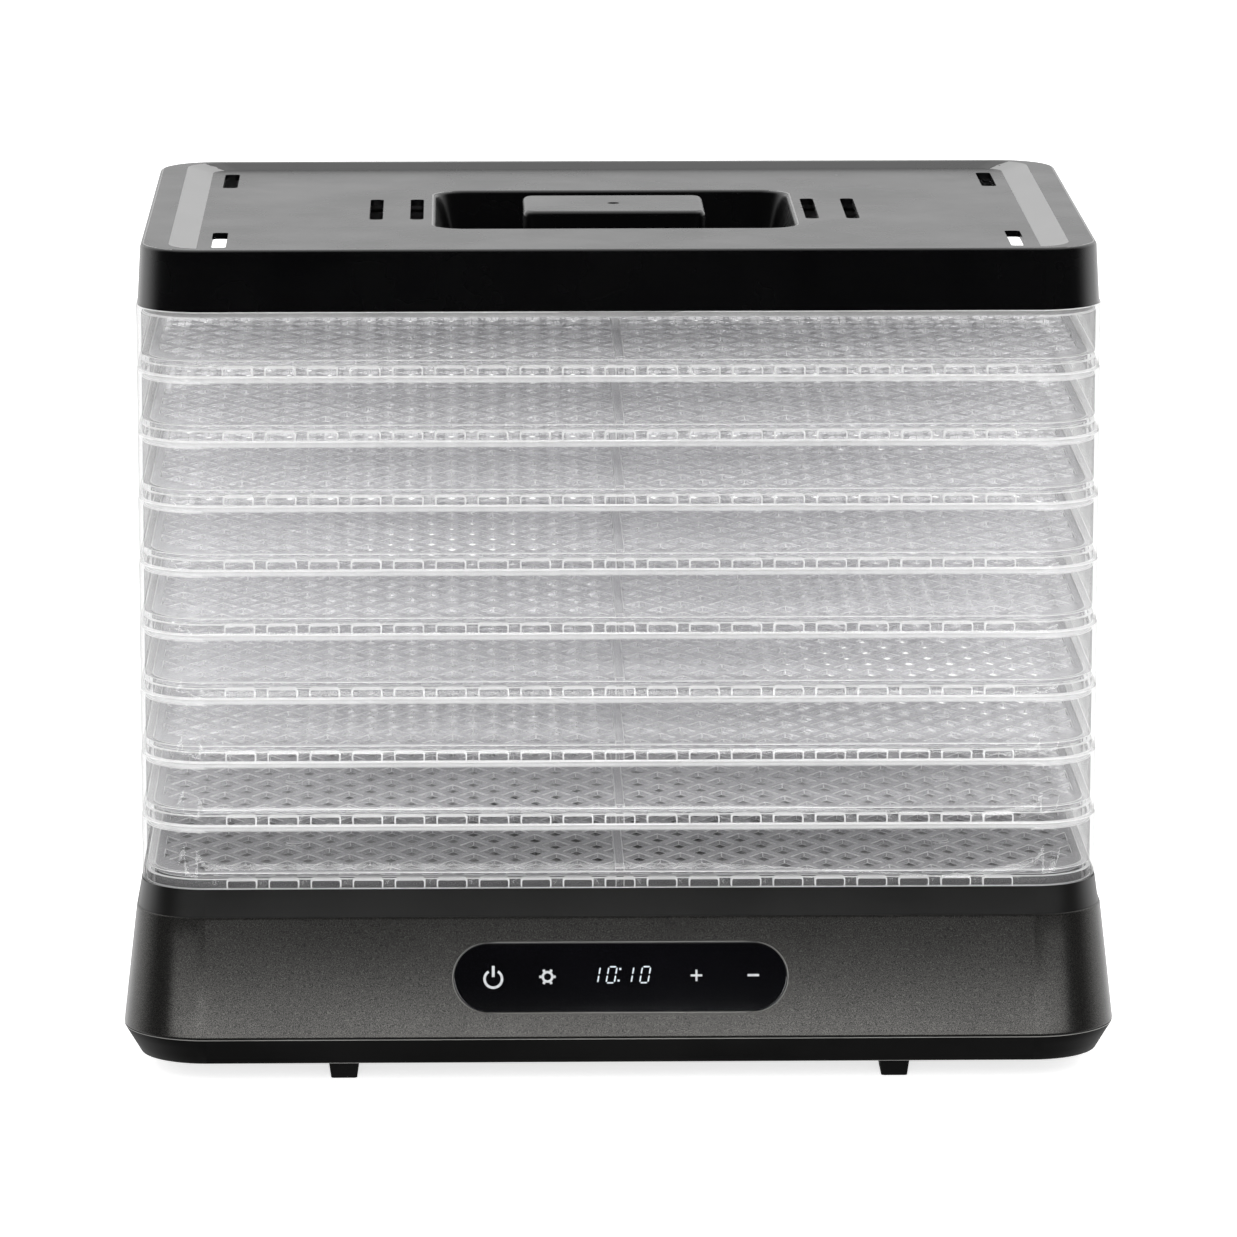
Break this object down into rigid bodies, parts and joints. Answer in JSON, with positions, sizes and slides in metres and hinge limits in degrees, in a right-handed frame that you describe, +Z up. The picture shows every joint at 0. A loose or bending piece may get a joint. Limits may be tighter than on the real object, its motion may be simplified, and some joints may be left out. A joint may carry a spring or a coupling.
{
  "type": "food dehydrator",
  "caption": "Rectangular food dehydrator: a stack of clear vented trays on a dark electric base with a touch panel, under a black lid with a recessed grip and air slots.",
  "frame": {"origin": "on the worktop, under the middle of the base", "axes": "+Z up the tray stack, +X to the right of someone facing the control panel, -Y out of the control panel, +Y to the rear"},
  "size_m": [0.409, 0.2986, 0.3468],
  "materials": {
    "clear_plastic": "clear moulded, glossy",
    "lid_plastic": "satin black",
    "black_plastic": "satin black",
    "charcoal_plastic": "charcoal with a fine metallic fleck, satin",
    "black_gloss": "glossy, smoked",
    "display_glow": "lit digits behind a smoked panel",
    "rubber": "matte",
    "steel": "zinc plated",
    "galvanised_sheet": "galvanised",
    "lamination_steel": "dull laminated",
    "heating_wire": "oxidised nickel alloy",
    "bronze": "sintered",
    "copper": "enamelled wire",
    "mica": "matte pressed mica",
    "circuit_board": "solder mask",
    "grey_plastic": "moulded",
    "white_plastic": "moulded",
    "cable_sleeve": "sleeved"
  },
  "bodies": {
    "base": {"base_deck": "black_plastic", "base_housing": "charcoal_plastic", "base_cover": "black_plastic", "base_screws": "steel", "feet": "rubber", "cord_gland": "rubber", "control_panel": "black_gloss", "display_board": "circuit_board", "display_module": "display_glow", "touch_springs": "steel", "display_cable": "cable_sleeve", "board_screws": "steel", "air_duct": "galvanised_sheet", "outlet_grille": "black_plastic", "grille_screws": "steel", "fan_screws": "steel", "motor_bracket": "galvanised_sheet", "motor_housing": "galvanised_sheet", "motor_end_cap": "galvanised_sheet", "motor_bearings": "bronze", "motor_stator": "lamination_steel", "motor_windings": "copper", "heater_frame": "mica", "heater_coil": "heating_wire", "thermal_fuse": "grey_plastic", "overheat_cutout": "grey_plastic", "temperature_sensor": "steel", "terminal_block": "grey_plastic", "power_board": "circuit_board", "transformer": "lamination_steel", "relay": "grey_plastic", "board_capacitors": "grey_plastic", "board_connectors": "white_plastic", "wiring": "cable_sleeve"},
    "fan": {"motor_shaft": "steel", "motor_rotor": "lamination_steel", "fan_impeller": "grey_plastic", "impeller_nut": "steel"},
    "tray_1": {"tray_1_frame": "clear_plastic", "tray_1_floor": "clear_plastic"},
    "tray_2": {"tray_2_frame": "clear_plastic", "tray_2_floor": "clear_plastic"},
    "tray_3": {"tray_3_frame": "clear_plastic", "tray_3_floor": "clear_plastic"},
    "tray_4": {"tray_4_frame": "clear_plastic", "tray_4_floor": "clear_plastic"},
    "tray_5": {"tray_5_frame": "clear_plastic", "tray_5_floor": "clear_plastic"},
    "tray_6": {"tray_6_frame": "clear_plastic", "tray_6_floor": "clear_plastic"},
    "tray_7": {"tray_7_frame": "clear_plastic", "tray_7_floor": "clear_plastic"},
    "tray_8": {"tray_8_frame": "clear_plastic", "tray_8_floor": "clear_plastic"},
    "tray_9": {"tray_9_frame": "clear_plastic", "tray_9_floor": "clear_plastic"},
    "lid": {"lid_shell": "lid_plastic", "lid_handle": "lid_plastic", "lid_handle_screws": "steel"}
  },
  "joints": [
    {"name": "fan_spin", "type": "hinge", "parent": "base", "child": "fan", "pos_m": [0, 0, 0.046], "axis": [0, 0, 1], "continuous": true},
    {"name": "tray_1_lift", "type": "slide", "parent": "base", "child": "tray_1", "axis": [0, 0, 1], "range_m": [0, 0.05]},
    {"name": "tray_2_lift", "type": "slide", "parent": "tray_1", "child": "tray_2", "axis": [0, 0, 1], "range_m": [0, 0.05]},
    {"name": "tray_3_lift", "type": "slide", "parent": "tray_2", "child": "tray_3", "axis": [0, 0, 1], "range_m": [0, 0.05]},
    {"name": "tray_4_lift", "type": "slide", "parent": "tray_3", "child": "tray_4", "axis": [0, 0, 1], "range_m": [0, 0.05]},
    {"name": "tray_5_lift", "type": "slide", "parent": "tray_4", "child": "tray_5", "axis": [0, 0, 1], "range_m": [0, 0.05]},
    {"name": "tray_6_lift", "type": "slide", "parent": "tray_5", "child": "tray_6", "axis": [0, 0, 1], "range_m": [0, 0.05]},
    {"name": "tray_7_lift", "type": "slide", "parent": "tray_6", "child": "tray_7", "axis": [0, 0, 1], "range_m": [0, 0.05]},
    {"name": "tray_8_lift", "type": "slide", "parent": "tray_7", "child": "tray_8", "axis": [0, 0, 1], "range_m": [0, 0.05]},
    {"name": "tray_9_lift", "type": "slide", "parent": "tray_8", "child": "tray_9", "axis": [0, 0, 1], "range_m": [0, 0.05]},
    {"name": "lid_lift", "type": "slide", "parent": "tray_9", "child": "lid", "axis": [0, 0, 1], "range_m": [0, 0.08]}
  ]
}
